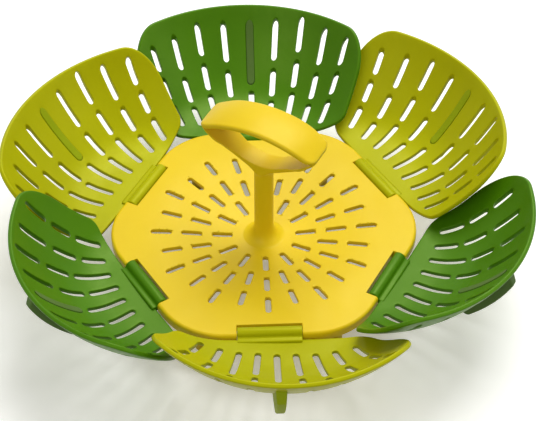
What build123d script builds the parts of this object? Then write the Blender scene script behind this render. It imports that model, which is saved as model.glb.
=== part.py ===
"""Folding steamer basket: a six-sided plate with six hinged petals, silicone feet and a loop handle.

Millimetres, +Z up. The origin is on the table, under the middle of the plate. The front is -Y.
A petal is modelled pointing along +X and copied round the plate. Seen from above, the petals
follow each other like the blades of an iris: the clockwise edge of each one (towards -Y here)
lies inside its neighbour, and its other edge (towards +Y) lies outside.
"""
import os
from math import atan, atan2, cos, degrees, hypot, radians, sin, sqrt, tan

from build123d import *

# Plate
plate_flats = 140.0
plate_corner_radius = 34.0
plate_top = 24.0
plate_wall = 2.4
plate_edge_round = 1.6
skirt_depth = 5.4
skirt_wall = 2.2
dish_depth = 4.8
dish_radius = 46.7
plate_slot_width = 2.7
slot_lines = 24
even_line_shares = ((0.220, 0.368), (0.437, 0.585), (0.651, 0.800))
odd_line_shares = ((0.384, 0.531), (0.598, 0.747))

# Legs under the corners of the plate, each with a web to the skirt
leg_top_radius = 4.2
leg_foot_radius = 3.3
leg_inset = 11.4
leg_round = 0.8
leg_web = 1.8
leg_web_depth = 12.0

# Hinges
notch_width = 31.0
notch_depth = 6.6
notch_wall = 2.2
hinge_inset = 3.0
hinge_drop = 2.1
barrel_radius = 2.9
barrel_side_gap = 0.3
pin_radius = 1.1
pin_grip = 4.4
pin_end_gap = 0.2
pin_running_gap = 0.08
pin_fit_gap = 0.02
snap_slot_width = 1.8
boss_wall = 0.7
lug_web = 1.9
lug_lap = 2.0

# Petals, seen from above
petal_wall = 2.2
petal_edge_round = 0.7
root_gap = 0.7
root_half_outer = 45.2
root_half_inner = 43.3
side_angle_outer = 37.0
side_angle_inner = 26.8
root_round_outer = 13.0
root_round_inner = 4.8
rim_round_outer = 20.8
rim_round_inner = 18.8
rim_radius = 78.4
rim_inset = 18.4
rim_shift = 7.3

# The bowl that a petal is cut from, turned about an axis inside the plate's edge
bowl_inset = 14.95
bowl_shift = 5.87
bowl_tilt = 1.15
floor_drop = 2.33
floor_radius = 31.6
floor_slope = 2.86
floor_start_share = 0.4
bend_radius = 33.1
bend_angle = 43.5
wall_radius = 115.0
wall_angle = 68.0

# Slots of a petal: columns that fan out, as shares of the fan's length from the root
petal_slot_width = 3.0
fan_inset = 64.2
fan_shift = 2.76
fan_length = 60.3
fan_step = 6.7
fan_skew = 0.45
centre_slot_shares = ((0.156, 0.494),)
inlay_shares = ((0.541, 0.914),)
column_shares = {
    1: ((0.156, 0.406), (0.446, 0.648), (0.695, 0.917)),
    2: ((0.179, 0.481), (0.517, 0.693), (0.736, 0.910)),
    3: ((0.197, 0.391), (0.431, 0.610), (0.655, 0.849)),
    4: ((0.229, 0.428), (0.464, 0.609), (0.645, 0.789)),
}

# Silicone feet: a fin under the petal and an inlay through its long slot
inlay_width = 4.0
inlay_proud = 0.3
fin_root_width = 6.7
fin_edge_width = 4.2
fin_depth = 12.0
fin_edge_radius = 96.9
fin_toe_reach = 63.5
fin_toe_height = 46.2
fin_toe_round = 1.5
fin_top_angle = 58.5
fin_edge_round = 0.8
fin_heel_reach = 38.0
fin_heel_height = 10.5
fin_heel_round = 2.5
fin_neck_angle = 28.0

# Handle
handle_turn = -30.0
handle_height = 73.2
handle_half_length = 32.8
handle_half_width = 10.6
crown_rise = 9.8
tip_wall = 4.4
tip_spare = 1.0
plan_round = 7.4
waist_drop = 11.4
waist_half_width = 6.3
neck_half_width = 5.2
neck_drop = 21.4
neck_blend = 7.0
band_thickness = 3.2
arm_thickness = 3.0
eye_blend = 22.0
eye_tip_round = 1.0
handle_edge_round = 1.6
stem_radius = 4.7
flare_blend = 8.5
flare_rim = 0.9
seat_depth = 0.5
seat_gap = 0.1

# Handle fixing, under the plate
spigot_radius = 3.5
spigot_length = 5.8
spigot_gap = 0.05
hub_radius = 7.5
hub_floor = 1.8
screw_shank_radius = 1.2
screw_reach = 6.2
screw_pilot_gap = 0.05
screw_pilot_depth = 5.2
screw_hole_radius = 1.7
screw_head_radius = 2.9
screw_head_height = 2.0
screw_head_round = 0.5
screw_slot_width = 0.8
screw_slot_length = 3.2
screw_slot_depth = 1.0

# Cuts run this much past the solid that they cut
overrun = 5.0

# Places of the petals round the plate
petal_places = {
    "back_right": 30.0,
    "back": 90.0,
    "back_left": 150.0,
    "front_left": 210.0,
    "front": 270.0,
    "front_right": 330.0,
}
corner_places = [place - 180 / len(petal_places) for place in petal_places.values()]

# Derived places
plate_apothem = plate_flats / 2
plate_corner = (plate_apothem - plate_corner_radius) / cos(radians(180 / len(petal_places))) + plate_corner_radius
skirt_bottom = plate_top - skirt_depth
plate_underside = plate_top - plate_wall
notch_x = plate_apothem - notch_depth
notch_wall_x = notch_x - notch_wall
hinge_x = plate_apothem - hinge_inset
hinge_z = plate_top - hinge_drop
pin_half_length = notch_width / 2 + pin_grip
leg_x = plate_corner - leg_inset
dish_centre = plate_top - dish_depth
seat_z = dish_centre - seat_depth
spigot_bottom = seat_z - spigot_length
hub_bottom = spigot_bottom - spigot_gap - hub_floor
flare_radius = stem_radius + flare_blend
root_x = plate_apothem + root_gap
bowl_x = plate_apothem - bowl_inset
rim_x = plate_apothem - rim_inset
rim_reach = rim_x + rim_radius
fan_x = plate_apothem - fan_inset
fan_root = root_x - fan_x
cut_height = plate_top + rim_radius


def upright_plane(turn, origin=(0, 0, 0)):
    """A vertical plane with local x pointing outwards at turn degrees and local y pointing up."""
    angle = radians(turn)
    return Plane(origin=origin, x_dir=(cos(angle), sin(angle), 0), z_dir=(sin(angle), -cos(angle), 0))


def turned_plane(turn, height):
    """A level plane at a height, with local x pointing outwards at turn degrees."""
    angle = radians(turn)
    return Plane(origin=(0, 0, height), x_dir=(cos(angle), sin(angle), 0), z_dir=(0, 0, 1))


def slot_on_ray(start, end, width, turn, centre=(0, 0)):
    """A round-ended slot on the ray that leaves centre at turn degrees."""
    middle = (start + end) / 2
    place = (centre[0] + middle * cos(radians(turn)), centre[1] + middle * sin(radians(turn)))
    with Locations(place):
        SlotOverall(end - start, width, rotation=turn)


def leave_circle(centre, radius, start, turn):
    """Where a ray from start, inside the circle, leaves it."""
    ray = (cos(radians(turn)), sin(radians(turn)))
    offset = (start[0] - centre[0], start[1] - centre[1])
    along = offset[0] * ray[0] + offset[1] * ray[1]
    reach = sqrt(along**2 - offset[0] ** 2 - offset[1] ** 2 + radius**2) - along
    return (start[0] + reach * ray[0], start[1] + reach * ray[1])


def bulge_middle(start, end, radius):
    """The middle of the arc of this radius from start to end that bulges to the right of the way."""
    chord = hypot(end[0] - start[0], end[1] - start[1])
    rise = radius - sqrt(radius**2 - chord**2 / 4)
    return (
        (start[0] + end[0]) / 2 + rise * (end[1] - start[1]) / chord,
        (start[1] + end[1]) / 2 - rise * (end[0] - start[0]) / chord,
    )


def round_corner(sketch, point, radius):
    """Rounds the corner of the sketch that is nearest to the point."""
    fillet(sketch.vertices().sort_by_distance(point)[0], radius)


# Base plate
def plate_outline(sketch, inset):
    """The six-sided outline with round corners, moved inwards by inset."""
    RegularPolygon(plate_apothem - inset, len(petal_places), major_radius=False)
    fillet(sketch.vertices(), plate_corner_radius - inset)


def dish_line(drop):
    """The three points of the dish's section, moved down by drop."""
    curve = (dish_radius**2 + dish_depth**2) / (2 * dish_depth)
    sag = curve - sqrt(curve**2 - dish_radius**2 / 4)
    return (
        (0, dish_centre - drop),
        (dish_radius / 2, dish_centre + sag - drop),
        (dish_radius, plate_top - drop),
    )


with BuildPart() as base_plate:
    with BuildSketch(Plane.XY.offset(skirt_bottom)) as outside:
        plate_outline(outside, 0)
    extrude(amount=skirt_depth)
    fillet(base_plate.edges().group_by(Axis.Z)[-1], plate_edge_round)

    # Hollow underside, with walls and bosses left round every notch
    with BuildSketch(Plane.XY.offset(skirt_bottom)) as inside:
        plate_outline(inside, skirt_wall)
        for turn in petal_places.values():
            with PolarLocations(notch_wall_x, 1, start_angle=turn):
                Rectangle(
                    notch_depth + notch_wall,
                    2 * (pin_half_length + boss_wall),
                    align=(Align.MIN, Align.CENTER),
                    mode=Mode.SUBTRACT,
                )
    extrude(amount=skirt_depth - plate_wall, mode=Mode.SUBTRACT)

    # Dish
    with BuildSketch(Plane.XZ):
        with BuildLine():
            Polyline(dish_line(0)[0], (0, plate_top + overrun), (dish_radius, plate_top + overrun), dish_line(0)[2])
            ThreePointArc(*dish_line(0))
        make_face()
    revolve(axis=Axis.Z, mode=Mode.SUBTRACT)
    with BuildSketch(Plane.XZ):
        with BuildLine():
            ThreePointArc(*dish_line(0))
            ThreePointArc(*dish_line(plate_wall))
            Line(dish_line(0)[0], dish_line(plate_wall)[0])
            Line(dish_line(0)[2], dish_line(plate_wall)[2])
        make_face()
    revolve(axis=Axis.Z)

    # Hub for the handle's spigot
    with BuildSketch(Plane.XY.offset(hub_bottom)):
        Circle(hub_radius)
    extrude(amount=seat_z - hub_bottom)

    # Legs
    for turn in corner_places:
        foot = (leg_x * cos(radians(turn)), leg_x * sin(radians(turn)), plate_underside)
        with BuildSketch(Plane(origin=foot, z_dir=(0, 0, -1))):
            Circle(leg_top_radius)
        extrude(amount=plate_underside, taper=degrees(atan((leg_top_radius - leg_foot_radius) / plate_underside)))
        with BuildSketch(upright_plane(turn)):
            with BuildLine():
                Polyline(
                    (leg_x, plate_underside),
                    (plate_corner - skirt_wall / 2, plate_underside),
                    (plate_corner - skirt_wall / 2, skirt_bottom),
                    (leg_x, plate_underside - leg_web_depth),
                    close=True,
                )
            make_face()
        extrude(amount=leg_web / 2, both=True)
    fillet(base_plate.edges().group_by(Axis.Z)[0], leg_round)

    # Notches, pin holes and the slots that the pins snap in through
    for turn in petal_places.values():
        with BuildSketch(turned_plane(turn, skirt_bottom)):
            with Locations((notch_x, 0)):
                Rectangle(notch_depth + overrun, notch_width, align=(Align.MIN, Align.CENTER))
        extrude(amount=skirt_depth + overrun, mode=Mode.SUBTRACT)
        with BuildSketch(upright_plane(turn)):
            with Locations((hinge_x, hinge_z)):
                Circle(pin_radius + pin_fit_gap)
                Rectangle(snap_slot_width, hinge_z - skirt_bottom + overrun, align=(Align.CENTER, Align.MAX))
        extrude(amount=pin_half_length, both=True, mode=Mode.SUBTRACT)

    # Radial slots
    with BuildSketch(Plane.XY.offset(dish_centre - plate_wall)):
        for line in range(slot_lines):
            shares = odd_line_shares if line % 2 else even_line_shares
            for start, end in shares:
                slot_on_ray(start * plate_apothem, end * plate_apothem, plate_slot_width, 360 / slot_lines * line)
    extrude(amount=plate_wall + dish_depth + overrun, mode=Mode.SUBTRACT)

    # Seat for the handle's foot, with the holes for its spigot and screw
    with BuildSketch(Plane.XY.offset(seat_z)):
        Circle(flare_radius + seat_gap)
    extrude(amount=dish_depth, mode=Mode.SUBTRACT)
    with BuildSketch(Plane.XY.offset(spigot_bottom - spigot_gap)):
        Circle(spigot_radius + spigot_gap)
    extrude(amount=spigot_length + overrun, mode=Mode.SUBTRACT)
    with BuildSketch(Plane.XY.offset(hub_bottom)):
        Circle(screw_hole_radius)
    extrude(amount=hub_floor + overrun, mode=Mode.SUBTRACT)
base_plate.part.label = "base_plate"


# Petal
bowl_plane = Plane(
    origin=(bowl_x, bowl_shift, plate_top),
    x_dir=(-1, 0, 0),
    z_dir=(0, cos(radians(bowl_tilt)), -sin(radians(bowl_tilt))),
)
bowl_axis = Axis(bowl_plane.origin, bowl_plane.y_dir)
bend_centre = (
    floor_radius - bend_radius * sin(radians(floor_slope)),
    bend_radius * cos(radians(floor_slope)) - floor_drop,
)
wall_centre = (
    bend_centre[0] + (bend_radius - wall_radius) * sin(radians(bend_angle)),
    bend_centre[1] - (bend_radius - wall_radius) * cos(radians(bend_angle)),
)


def climb(centre, radius, angle):
    """The point of a curve about centre where it climbs at angle degrees."""
    return (centre[0] + radius * sin(radians(angle)), centre[1] - radius * cos(radians(angle)))


def floor_point(depth, start):
    """The point of the bowl's flat cone at start from its axis, depth below its upper face."""
    floor_end = climb(bend_centre, bend_radius + depth, floor_slope)
    return (start, floor_end[1] - (floor_end[0] - start) * tan(radians(floor_slope)))


def bowl_curve(depth, start_angle, end_angle):
    """The bowl's curved section line, depth below its upper face, between two climbing angles."""
    bend = bend_radius + depth
    wall = wall_radius + depth
    ThreePointArc(
        climb(bend_centre, bend, start_angle),
        climb(bend_centre, bend, (start_angle + bend_angle) / 2),
        climb(bend_centre, bend, bend_angle),
    )
    ThreePointArc(
        climb(bend_centre, bend, bend_angle),
        climb(wall_centre, wall, (bend_angle + end_angle) / 2),
        climb(wall_centre, wall, end_angle),
    )


def bowl_layer(upper, lower):
    """The bowl between two depths below its upper face, turned about its axis."""
    start = (root_x - bowl_x) * floor_start_share
    with BuildSketch(bowl_plane) as section:
        with BuildLine():
            for depth in (upper, lower):
                Line(floor_point(depth, start), climb(bend_centre, bend_radius + depth, floor_slope))
                bowl_curve(depth, floor_slope, wall_angle)
            Line(floor_point(upper, start), floor_point(lower, start))
            Line(
                climb(wall_centre, wall_radius + upper, wall_angle),
                climb(wall_centre, wall_radius + lower, wall_angle),
            )
        make_face()
    revolve(section.sketch, axis=bowl_axis)


def petal_slots(columns, side):
    """The slots of the columns on one side of the fan: 1 is its clockwise side, -1 the other."""
    for column, shares in columns.items():
        nearer = fan_root - side * fan_skew * column
        for start, end in shares:
            slot_on_ray(
                nearer + start * fan_length,
                nearer + end * fan_length,
                petal_slot_width,
                -side * fan_step * column,
                (fan_x, fan_shift),
            )


def inlay_slot():
    """The long slot that the foot's inlay fills."""
    for start, end in inlay_shares:
        slot_on_ray(
            fan_root + start * fan_length, fan_root + end * fan_length, inlay_width, 0, (fan_x, fan_shift)
        )


root_inner = (root_x, -root_half_inner)
root_outer = (root_x, root_half_outer)
rim_outer = leave_circle((rim_x, rim_shift), rim_radius, root_outer, side_angle_outer)
rim_inner = leave_circle((rim_x, rim_shift), rim_radius, root_inner, -side_angle_inner)

with BuildPart() as petal:
    bowl_layer(0, petal_wall)
    with BuildSketch() as petal_outline:
        with BuildLine():
            Line(root_inner, root_outer)
            Line(root_outer, rim_outer)
            ThreePointArc(rim_outer, (rim_reach, rim_shift), rim_inner)
            Line(rim_inner, root_inner)
        make_face()
        round_corner(petal_outline, root_inner, root_round_inner)
        round_corner(petal_outline, root_outer, root_round_outer)
        round_corner(petal_outline, rim_outer, rim_round_outer)
        round_corner(petal_outline, rim_inner, rim_round_inner)
    extrude(amount=cut_height, mode=Mode.INTERSECT)
    fillet(petal.edges(), petal_edge_round)

    # Hinge barrel and its web to the root
    with BuildSketch(upright_plane(0)):
        with Locations((hinge_x, hinge_z)):
            Circle(barrel_radius)
        with Locations((hinge_x, hinge_z - barrel_radius)):
            Rectangle(root_x - hinge_x + lug_lap, lug_web, align=Align.MIN)
    extrude(amount=notch_width / 2 - barrel_side_gap, both=True)
    with BuildSketch(upright_plane(0)):
        with Locations((hinge_x, hinge_z)):
            Circle(pin_radius + pin_running_gap)
    extrude(amount=notch_width, both=True, mode=Mode.SUBTRACT)

    # Slots
    with BuildSketch():
        petal_slots({0: centre_slot_shares}, 1)
        petal_slots(column_shares, 1)
        petal_slots(column_shares, -1)
        inlay_slot()
    extrude(amount=cut_height, mode=Mode.SUBTRACT)


# Silicone foot
toe = (hinge_x + fin_toe_reach - bowl_x, fin_toe_height - plate_top)
heel = (hinge_x + fin_heel_reach - bowl_x, fin_heel_height - plate_top)
fin_start = climb(bend_centre, bend_radius + petal_wall / 2, fin_neck_angle)
fin_end = climb(wall_centre, wall_radius + petal_wall / 2, fin_top_angle)
edge_middle = bulge_middle(heel, toe, fin_edge_radius)
half_chord = hypot(toe[0] - heel[0], toe[1] - heel[1]) / 2
to_centre = sqrt(fin_edge_radius**2 - half_chord**2) / (2 * half_chord)
edge_centre = (
    (heel[0] + toe[0]) / 2 - to_centre * (toe[1] - heel[1]),
    (heel[1] + toe[1]) / 2 + to_centre * (toe[0] - heel[0]),
)
fin_plane = Plane(origin=(bowl_x, fan_shift, plate_top), x_dir=(1, 0, 0), z_dir=(0, -1, 0))
fin_axis = Axis(fin_plane.from_local_coords((edge_centre[0], edge_centre[1], 0)), (0, 1, 0))

with BuildPart() as inlay:
    bowl_layer(-inlay_proud, petal_wall)
    with BuildSketch():
        inlay_slot()
    extrude(amount=cut_height, mode=Mode.INTERSECT)

with BuildPart() as foot:
    with BuildSketch(fin_plane) as fin:
        with BuildLine():
            bowl_curve(petal_wall / 2, fin_neck_angle, fin_top_angle)
            Line(fin_end, toe)
            ThreePointArc(toe, edge_middle, heel)
            Line(heel, fin_start)
        make_face()
        round_corner(fin, toe, fin_toe_round)
        round_corner(fin, heel, fin_heel_round)
    extrude(amount=fin_root_width / 2, both=True)

    # The fin narrows towards its lower edge
    with BuildSketch(Plane(origin=fin_axis.position, x_dir=(1, 0, 0), z_dir=(0, 0, 1))) as taper:
        with BuildLine():
            Polyline(
                (fin_edge_radius, fin_edge_width / 2),
                (fin_edge_radius - fin_depth, fin_root_width / 2),
                (0, fin_root_width / 2),
                (0, -fin_root_width / 2),
                (fin_edge_radius - fin_depth, -fin_root_width / 2),
                (fin_edge_radius, -fin_edge_width / 2),
                close=True,
            )
        make_face()
        round_corner(taper, (fin_edge_radius, fin_edge_width / 2), fin_edge_round)
        round_corner(taper, (fin_edge_radius, -fin_edge_width / 2), fin_edge_round)
    revolve(axis=fin_axis, mode=Mode.INTERSECT)

    # The inlay fills the long slot, and the fin is moulded onto the petal's back
    add(inlay.part)
    add(petal.part, mode=Mode.SUBTRACT)


# Hinge pin
with BuildPart() as pin:
    with BuildSketch(upright_plane(0)):
        with Locations((hinge_x, hinge_z)):
            Circle(pin_radius)
    extrude(amount=pin_half_length - pin_end_gap, both=True)


# Handle
handle_front = upright_plane(handle_turn, (0, 0, plate_top))
handle_side = upright_plane(handle_turn + 90, (0, 0, plate_top))
tip_height = handle_height - crown_rise
waist_height = tip_height - waist_drop
neck_height = tip_height - neck_drop
flank_height = tip_height - tip_wall
crown_radius = (handle_half_length**2 + crown_rise**2) / (2 * crown_rise)
crown_centre = handle_height - crown_radius
arm_slope = atan2(flank_height - neck_height, handle_half_length - stem_radius)
arm_end = handle_half_length + tip_spare
eye_bottom = neck_height - stem_radius * tan(arm_slope) + arm_thickness / cos(arm_slope)


def crown_point(reach):
    """The point of the crown's line at reach from the stem's axis."""
    return (reach, crown_centre + sqrt(crown_radius**2 - reach**2))


with BuildPart() as handle:
    # Stem, arms and crown, turned
    with BuildSketch(handle_front) as turned:
        with BuildLine():
            Polyline(
                (0, handle_height),
                (0, 0),
                (stem_radius, 0),
                (stem_radius, neck_height),
                (arm_end, flank_height + tip_spare * tan(arm_slope)),
                crown_point(arm_end),
            )
            ThreePointArc(crown_point(arm_end), crown_point(arm_end / 2), (0, handle_height))
        make_face()
        round_corner(turned, (stem_radius, neck_height), neck_blend)
    revolve(axis=Axis.Z)

    # Width of the band and the arms
    with BuildSketch(handle_side):
        with BuildLine():
            Line((neck_half_width, 0), (neck_half_width, neck_height))
            Spline(
                (neck_half_width, neck_height),
                (waist_half_width, waist_height),
                (handle_half_width, flank_height),
                tangents=((0, 1), (0, 1)),
            )
            Line((handle_half_width, flank_height), (handle_half_width, handle_height))
            mirror(about=Plane.YZ)
            Line((-neck_half_width, 0), (neck_half_width, 0))
            Line((-handle_half_width, handle_height), (handle_half_width, handle_height))
        make_face()
    extrude(amount=arm_end + overrun, both=True, mode=Mode.INTERSECT)
    with BuildSketch(turned_plane(handle_turn, plate_top)):
        RectangleRounded(2 * handle_half_length, 2 * handle_half_width, plan_round)
    extrude(amount=handle_height, mode=Mode.INTERSECT)
    tip_middle = plate_top + (flank_height + tip_height) / 2
    crown_edges = handle.edges().filter_by_position(Axis.Z, tip_middle, plate_top + handle_height)
    fillet(crown_edges.filter_by(GeomType.LINE, reverse=True), handle_edge_round)
    arm_edges = handle.edges().filter_by_position(Axis.Z, plate_top + neck_height, plate_top + flank_height)
    fillet(arm_edges.filter_by(GeomType.LINE, reverse=True).group_by(SortBy.LENGTH)[-1], handle_edge_round)

    # Eye
    with BuildSketch(handle_front) as eye:
        with Locations((0, crown_centre)):
            Circle(crown_radius - band_thickness)
        with BuildLine():
            Polyline(
                (0, eye_bottom),
                (handle_half_length, eye_bottom + handle_half_length * tan(arm_slope)),
                (handle_half_length, handle_height),
                (-handle_half_length, handle_height),
                (-handle_half_length, eye_bottom + handle_half_length * tan(arm_slope)),
                close=True,
            )
        make_face(mode=Mode.INTERSECT)
        eye_tips = eye.vertices().group_by(Axis.Y)[-1]
        fillet(eye_tips, eye_tip_round)
        round_corner(eye, (0, eye_bottom), eye_blend)
    extrude(amount=2 * handle_half_width, both=True, mode=Mode.SUBTRACT)

    # Foot of the stem and the spigot below it
    with BuildSketch(Plane.XZ) as flare:
        with BuildLine():
            Polyline(
                (0, plate_top + overrun),
                (0, spigot_bottom),
                (spigot_radius, spigot_bottom),
                (spigot_radius, seat_z),
                (flare_radius, seat_z),
                (flare_radius, seat_z + flare_rim),
            )
            RadiusArc((flare_radius, seat_z + flare_rim), (stem_radius, seat_z + flare_rim + flare_blend), flare_blend)
            Line((stem_radius, seat_z + flare_rim + flare_blend), (stem_radius, plate_top + overrun))
            Line((stem_radius, plate_top + overrun), (0, plate_top + overrun))
        make_face()
    revolve(axis=Axis.Z)
    with BuildSketch(Plane.XY.offset(spigot_bottom)):
        Circle(screw_shank_radius + screw_pilot_gap)
    extrude(amount=screw_pilot_depth, mode=Mode.SUBTRACT)
handle.part.label = "handle"


# Handle screw
with BuildPart() as handle_screw:
    with BuildSketch(Plane.XY.offset(hub_bottom - screw_head_height)):
        Circle(screw_head_radius)
    extrude(amount=screw_head_height)
    fillet(handle_screw.edges().group_by(Axis.Z)[0], screw_head_round)
    with BuildSketch(Plane.XY.offset(hub_bottom)):
        Circle(screw_shank_radius)
    extrude(amount=screw_reach)
    with BuildSketch(Plane.XY.offset(hub_bottom - screw_head_height)):
        Rectangle(screw_slot_length, screw_slot_width)
        Rectangle(screw_slot_width, screw_slot_length)
    extrude(amount=screw_slot_depth, mode=Mode.SUBTRACT)
handle_screw.part.label = "handle_screw"


# One petal, foot and pin at each place
os.makedirs("parts", exist_ok=True)
for fixed in (base_plate, handle, handle_screw):
    export_step(fixed.part, f"parts/{fixed.part.label}.step")
for place, turn in petal_places.items():
    for name, piece in (("petal", petal), ("foot", foot), ("hinge_pin", pin)):
        with BuildPart() as placed:
            add(piece.part.rotate(Axis.Z, turn))
        placed.part.label = f"{name}_{place}"
        export_step(placed.part, f"parts/{placed.part.label}.step")
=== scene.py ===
"""Looks of the folding steamer basket: fine meshes, finishes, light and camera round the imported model.

Metres, +Z up, the front towards -Y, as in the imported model. The petals and the feet are rebuilt as dense
mouldings from the same sizes as their solids. The plate and the handle are copies of their solids with
softer forms and rounded edges. The pins and the screw are the solids themselves.
"""

import logging
from dataclasses import dataclass, field
from enum import Enum
from math import atan2, ceil, cos, hypot, pi, radians, sin, sqrt, tan
from typing import Any, Callable, Iterable, Sequence

import bmesh
import bpy
from mathutils import Matrix, Vector
from mathutils.geometry import delaunay_2d_cdt
from mathutils.kdtree import KDTree


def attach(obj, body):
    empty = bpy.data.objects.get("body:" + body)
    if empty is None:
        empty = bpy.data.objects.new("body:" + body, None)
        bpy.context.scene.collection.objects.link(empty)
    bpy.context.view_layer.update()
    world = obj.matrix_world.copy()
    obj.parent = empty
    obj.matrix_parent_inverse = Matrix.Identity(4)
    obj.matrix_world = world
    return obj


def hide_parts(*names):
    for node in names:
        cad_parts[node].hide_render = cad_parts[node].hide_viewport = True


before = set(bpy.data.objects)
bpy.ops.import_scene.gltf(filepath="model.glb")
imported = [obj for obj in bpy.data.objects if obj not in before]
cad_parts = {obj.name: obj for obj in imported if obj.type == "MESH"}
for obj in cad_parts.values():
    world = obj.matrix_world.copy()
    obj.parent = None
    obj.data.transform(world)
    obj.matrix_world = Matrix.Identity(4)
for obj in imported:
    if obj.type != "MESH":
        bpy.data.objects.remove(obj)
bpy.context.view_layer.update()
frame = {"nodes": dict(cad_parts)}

MM = 0.001
TINY = 1e-7
Colour = tuple[float, float, float]
Point = tuple[float, float]
Placer = Callable[[float, float, float, bool], Vector]
Shape = tuple[list[Vector], list[tuple[int, ...]]]

log = logging.getLogger("steamer_basket")


class Value:
    """A socket of a node tree. Python's operators on it add Math nodes."""

    def __init__(self, graph: "Graph", socket: bpy.types.NodeSocket) -> None:
        """Wraps an output socket of a graph."""
        self.graph = graph
        self.socket = socket

    def _math(self, operation: str, first: Any, second: Any) -> "Value":
        """Adds a Math node for two values or numbers."""
        return self.graph.node("ShaderNodeMath", {"operation": operation}, {0: first, 1: second})

    def __add__(self, other: Any) -> "Value":
        """This value plus another."""
        return self._math("ADD", self, other)

    def __radd__(self, other: Any) -> "Value":
        """Another value plus this one."""
        return self._math("ADD", other, self)

    def __sub__(self, other: Any) -> "Value":
        """This value minus another."""
        return self._math("SUBTRACT", self, other)

    def __rsub__(self, other: Any) -> "Value":
        """Another value minus this one."""
        return self._math("SUBTRACT", other, self)

    def __mul__(self, other: Any) -> "Value":
        """This value times another."""
        return self._math("MULTIPLY", self, other)

    def __rmul__(self, other: Any) -> "Value":
        """Another value times this one."""
        return self._math("MULTIPLY", other, self)


@dataclass(frozen=True)
class Mottle:
    """Noise over a piece: its grain in metres, finer layers, stretch, and what becomes 0 and 1."""

    grain: float
    detail: float
    stretch: Colour = (1.0, 1.0, 1.0)
    spread: Point | None = None


class Graph:
    """The node tree of one material or of the world."""

    def __init__(self, owner: bpy.types.Material | bpy.types.World) -> None:
        """Empties the owner's tree.

        Args:
            owner: A new material or world.
        """
        self.owner = owner
        owner.use_nodes = True
        self.tree = owner.node_tree
        self.tree.nodes.clear()

    @classmethod
    def material(cls, name: str) -> "Graph":
        """The graph of a new material."""
        return cls(bpy.data.materials.new(name))

    @staticmethod
    def _socket(sockets: Any, key: int | str) -> bpy.types.NodeSocket:
        """Finds a socket by its place, identifier or name."""
        named = [socket for socket in sockets if socket.identifier == key]
        return named[0] if named else sockets[key]

    def node(
        self, kind: str, settings: dict[str, Any], inputs: dict[int | str, Any], output: int | str = 0
    ) -> Value:
        """Adds a node of any kind.

        Args:
            kind: The node's type.
            settings: Its properties, which are set first.
            inputs: Values, numbers or colours for its sockets.
            output: The socket that is returned.

        Returns:
            One of the node's outputs.
        """
        made = self.tree.nodes.new(kind)
        for key, setting in settings.items():
            setattr(made, key, setting)
        for key, value in inputs.items():
            socket = self._socket(made.inputs, key)
            if isinstance(value, Value):
                self.tree.links.new(value.socket, socket)
            elif isinstance(value, tuple) and socket.type == "RGBA":
                socket.default_value = (*value, 1)
            else:
                socket.default_value = value
        return Value(self, self._socket(made.outputs, output))

    def mix(self, factor: Any, first: Any, second: Any) -> Value:
        """Mixes two colours. The factor is the share of the second."""
        inputs = {"Factor_Float": factor, "A_Color": first, "B_Color": second}
        return self.node("ShaderNodeMix", {"data_type": "RGBA"}, inputs, "Result_Color")

    def mottle(self, look: Mottle) -> Value:
        """Noise over a piece, which moves with the piece.

        Args:
            look: What it is like.

        Returns:
            The noise, from 0 to 1.
        """
        place = self.node("ShaderNodeTexCoord", {}, {}, "Object")
        scale = tuple(1 / length for length in look.stretch)
        place = self.node("ShaderNodeMapping", {}, {"Vector": place, "Scale": scale})
        noise = self.node("ShaderNodeTexNoise", {}, {"Vector": place, "Scale": 1 / look.grain, "Detail": look.detail})
        if look.spread is None:
            return noise
        low, high = look.spread
        return self.node("ShaderNodeMapRange", {"clamp": True}, {"Value": noise, "From Min": low, "From Max": high})

    def bump(self, height: Value, strength: float, depth: float) -> Value:
        """A normal bumped by a height, where a height of 1 is the depth in metres."""
        return self.node("ShaderNodeBump", {}, {"Strength": strength, "Distance": depth, "Height": height}, "Normal")

    def seen(self) -> Value:
        """A mask for what the camera sees, straight or in a gloss or through something clear."""
        rays = ("Is Camera Ray", "Is Glossy Ray", "Is Transmission Ray")
        camera, glossy, clear = (self.node("ShaderNodeLightPath", {}, {}, ray) for ray in rays)
        return camera + glossy + clear

    def surface(self, shader: Value) -> bpy.types.Material | bpy.types.World:
        """Closes the graph.

        Args:
            shader: The shader of the surface.

        Returns:
            The finished material or world.
        """
        kind = "World" if isinstance(self.owner, bpy.types.World) else "Material"
        output = self.tree.nodes.new(f"ShaderNodeOutput{kind}")
        self.tree.links.new(shader.socket, output.inputs["Surface"])
        return self.owner

    def principled(self, inputs: dict[str, Any]) -> bpy.types.Material:
        """Closes the graph with a Principled shader that has these inputs."""
        return self.surface(self.node("ShaderNodeBsdfPrincipled", {}, inputs))


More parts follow.
